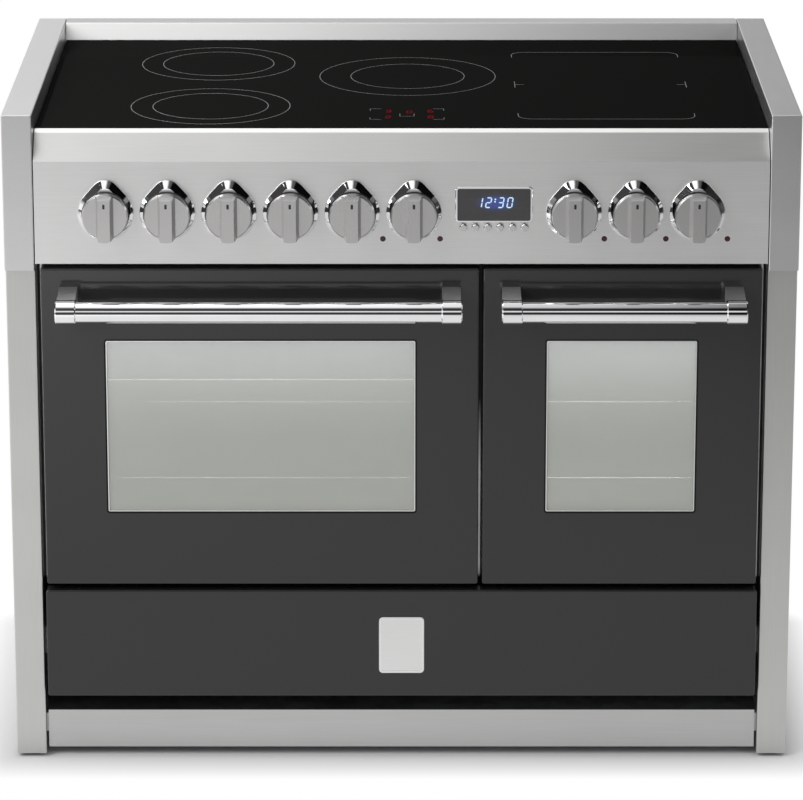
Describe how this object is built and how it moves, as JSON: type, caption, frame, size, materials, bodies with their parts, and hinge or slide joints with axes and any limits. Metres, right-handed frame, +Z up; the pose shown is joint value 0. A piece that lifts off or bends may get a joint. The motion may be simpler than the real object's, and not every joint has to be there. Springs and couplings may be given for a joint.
{
  "type": "kitchen stove",
  "caption": "Free-standing range cooker with a black glass induction hob, rotary knobs, a clock display, side-by-side drop-down ovens with windows and a full-width storage drawer.",
  "frame": {"origin": "on the floor, under the middle of the bounding box of the closed cooker with its handles", "axes": "+X to the right seen from the front, +Y from the front to the back, +Z up"},
  "size_m": [1, 0.6635, 0.86],
  "materials": {
    "stainless": "satin",
    "sheet_steel": "dull",
    "charcoal_enamel": "satin",
    "oven_enamel": "gloss",
    "door_steel": "satin",
    "hob_glass": "gloss",
    "door_glass": "gloss",
    "display_lens": "gloss",
    "chrome": "polished",
    "knob_metal": "satin",
    "black_plastic": "matte",
    "lamp_red": "gloss",
    "seal_rubber": "matte",
    "coil_copper": "satin",
    "board_green": "matte",
    "element_sheath": "dull",
    "fan_metal": "satin"
  },
  "bodies": {
    "cabinet": {"side_panels": "stainless", "top_cheeks": "stainless", "hob_frame": "stainless", "control_panel": "stainless", "plinth": "stainless", "base_pan": "sheet_steel", "rear_panel": "sheet_steel", "coil_tray": "sheet_steel", "oven_face_frame": "sheet_steel", "drawer_runners": "sheet_steel", "hinge_brackets": "sheet_steel", "left_oven_cavity": "oven_enamel", "right_oven_cavity": "oven_enamel", "fan_baffle": "oven_enamel", "hob_glass": "hob_glass", "display_window": "display_lens", "knob_collars": "chrome", "display_bezel": "chrome", "rack_guides": "chrome", "left_oven_shelves": "chrome", "right_oven_shelf": "chrome", "switch_bodies": "black_plastic", "clock_module": "black_plastic", "terminal_box": "black_plastic", "levelling_feet": "black_plastic", "indicator_lamps": "lamp_red", "door_seals": "seal_rubber", "induction_coils": "coil_copper", "power_boards": "board_green", "heating_elements": "element_sheath", "fan_motor": "fan_metal"},
    "knob_1": {"knob_1": "knob_metal"},
    "knob_2": {"knob_2": "knob_metal"},
    "knob_3": {"knob_3": "knob_metal"},
    "knob_4": {"knob_4": "knob_metal"},
    "knob_5": {"knob_5": "knob_metal"},
    "knob_6": {"knob_6": "knob_metal"},
    "knob_7": {"knob_7": "knob_metal"},
    "knob_8": {"knob_8": "knob_metal"},
    "knob_9": {"knob_9": "knob_metal"},
    "clock_button_1": {"clock_button_1": "chrome"},
    "clock_button_2": {"clock_button_2": "chrome"},
    "clock_button_3": {"clock_button_3": "chrome"},
    "clock_button_4": {"clock_button_4": "chrome"},
    "clock_button_5": {"clock_button_5": "chrome"},
    "clock_button_6": {"clock_button_6": "chrome"},
    "oven_fan": {"oven_fan": "fan_metal"},
    "left_door": {"left_door_panel": "charcoal_enamel", "left_door_glass": "door_glass", "left_door_liner": "door_steel", "left_handle_bar": "chrome", "left_handle_posts": "chrome"},
    "right_door": {"right_door_panel": "charcoal_enamel", "right_door_glass": "door_glass", "right_door_liner": "door_steel", "right_handle_bar": "chrome", "right_handle_posts": "chrome"},
    "drawer": {"drawer_front": "charcoal_enamel", "drawer_box": "sheet_steel", "drawer_slides": "sheet_steel"}
  },
  "joints": [
    {"name": "knob_1_turn", "type": "hinge", "parent": "cabinet", "child": "knob_1", "pos_m": [-0.371, -0.26825, 0.735], "axis": [0, 1, 0], "range_deg": [0, 270]},
    {"name": "knob_2_turn", "type": "hinge", "parent": "cabinet", "child": "knob_2", "pos_m": [-0.2937, -0.26825, 0.735], "axis": [0, 1, 0], "range_deg": [0, 270]},
    {"name": "knob_3_turn", "type": "hinge", "parent": "cabinet", "child": "knob_3", "pos_m": [-0.2164, -0.26825, 0.735], "axis": [0, 1, 0], "range_deg": [0, 270]},
    {"name": "knob_4_turn", "type": "hinge", "parent": "cabinet", "child": "knob_4", "pos_m": [-0.1391, -0.26825, 0.735], "axis": [0, 1, 0], "range_deg": [0, 270]},
    {"name": "knob_5_turn", "type": "hinge", "parent": "cabinet", "child": "knob_5", "pos_m": [-0.0618, -0.26825, 0.735], "axis": [0, 1, 0], "range_deg": [0, 270]},
    {"name": "knob_6_turn", "type": "hinge", "parent": "cabinet", "child": "knob_6", "pos_m": [0.0155, -0.26825, 0.735], "axis": [0, 1, 0], "range_deg": [0, 270]},
    {"name": "knob_7_turn", "type": "hinge", "parent": "cabinet", "child": "knob_7", "pos_m": [0.2164, -0.26825, 0.735], "axis": [0, 1, 0], "range_deg": [0, 270]},
    {"name": "knob_8_turn", "type": "hinge", "parent": "cabinet", "child": "knob_8", "pos_m": [0.2937, -0.26825, 0.735], "axis": [0, 1, 0], "range_deg": [0, 270]},
    {"name": "knob_9_turn", "type": "hinge", "parent": "cabinet", "child": "knob_9", "pos_m": [0.371, -0.26825, 0.735], "axis": [0, 1, 0], "range_deg": [0, 270]},
    {"name": "clock_button_1_press", "type": "slide", "parent": "cabinet", "child": "clock_button_1", "axis": [0, 1, 0], "range_m": [0, 0.0015], "stiffness_N_per_m": 400},
    {"name": "clock_button_2_press", "type": "slide", "parent": "cabinet", "child": "clock_button_2", "axis": [0, 1, 0], "range_m": [0, 0.0015], "stiffness_N_per_m": 400},
    {"name": "clock_button_3_press", "type": "slide", "parent": "cabinet", "child": "clock_button_3", "axis": [0, 1, 0], "range_m": [0, 0.0015], "stiffness_N_per_m": 400},
    {"name": "clock_button_4_press", "type": "slide", "parent": "cabinet", "child": "clock_button_4", "axis": [0, 1, 0], "range_m": [0, 0.0015], "stiffness_N_per_m": 400},
    {"name": "clock_button_5_press", "type": "slide", "parent": "cabinet", "child": "clock_button_5", "axis": [0, 1, 0], "range_m": [0, 0.0015], "stiffness_N_per_m": 400},
    {"name": "clock_button_6_press", "type": "slide", "parent": "cabinet", "child": "clock_button_6", "axis": [0, 1, 0], "range_m": [0, 0.0015], "stiffness_N_per_m": 400},
    {"name": "oven_fan_spin", "type": "hinge", "parent": "cabinet", "child": "oven_fan", "pos_m": [-0.1785, 0.18175, 0.455], "axis": [0, 1, 0], "continuous": true},
    {"name": "left_door_hinge", "type": "hinge", "parent": "cabinet", "child": "left_door", "pos_m": [-0.1785, -0.25725, 0.252], "axis": [1, 0, 0], "range_deg": [0, 90], "stiffness_Nm_per_rad": 6, "springref_deg": -20.05},
    {"name": "right_door_hinge", "type": "hinge", "parent": "cabinet", "child": "right_door", "pos_m": [0.279, -0.25725, 0.252], "axis": [1, 0, 0], "range_deg": [0, 90], "stiffness_Nm_per_rad": 4, "springref_deg": -20.05},
    {"name": "drawer_slide", "type": "slide", "parent": "cabinet", "child": "drawer", "axis": [0, -1, 0], "range_m": [0, 0.32]}
  ]
}
